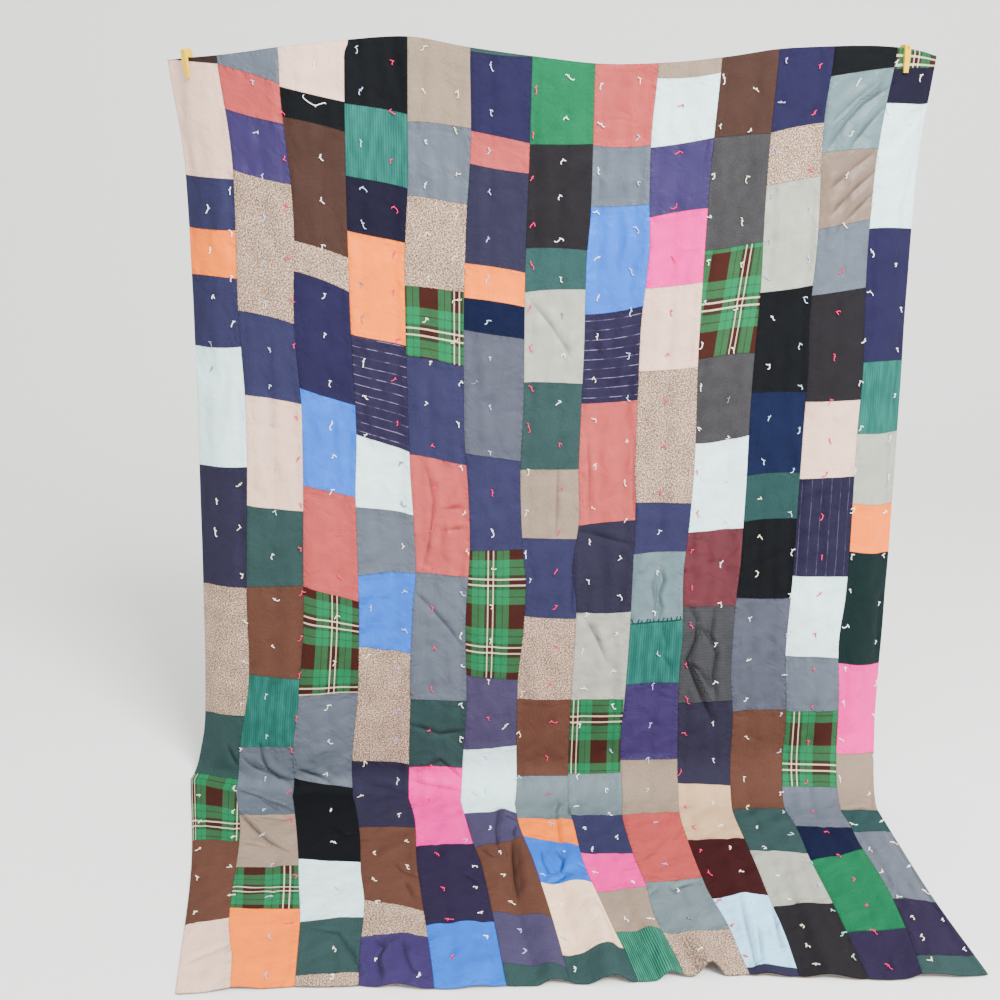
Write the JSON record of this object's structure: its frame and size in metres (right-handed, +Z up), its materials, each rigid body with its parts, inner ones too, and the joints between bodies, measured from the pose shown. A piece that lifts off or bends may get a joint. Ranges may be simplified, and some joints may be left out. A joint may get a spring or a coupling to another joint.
{
  "type": "patchwork quilt with its two hanging pegs",
  "caption": "Hand-tied patchwork quilt in sewn strips, pegged up by its top corners, with its foot bent forward and lying rippled on the ground.",
  "frame": {"origin": "on the ground, at the middle of the part's box", "axes": "+Z up, the quilt's front faces -Y, +X runs along its top edge"},
  "size_m": [1.7193, 0.8552, 1.7403],
  "materials": {
    "quilted_cloth": "woven suiting, tweed, corduroy and checked cloth, sewn in patches and tied",
    "peg_plastic": "moulded yellow plastic, satin"
  },
  "bodies": {
    "root": {"quilt": "quilted_cloth", "peg_left": "peg_plastic", "peg_right": "peg_plastic"}
  },
  "joints": []
}
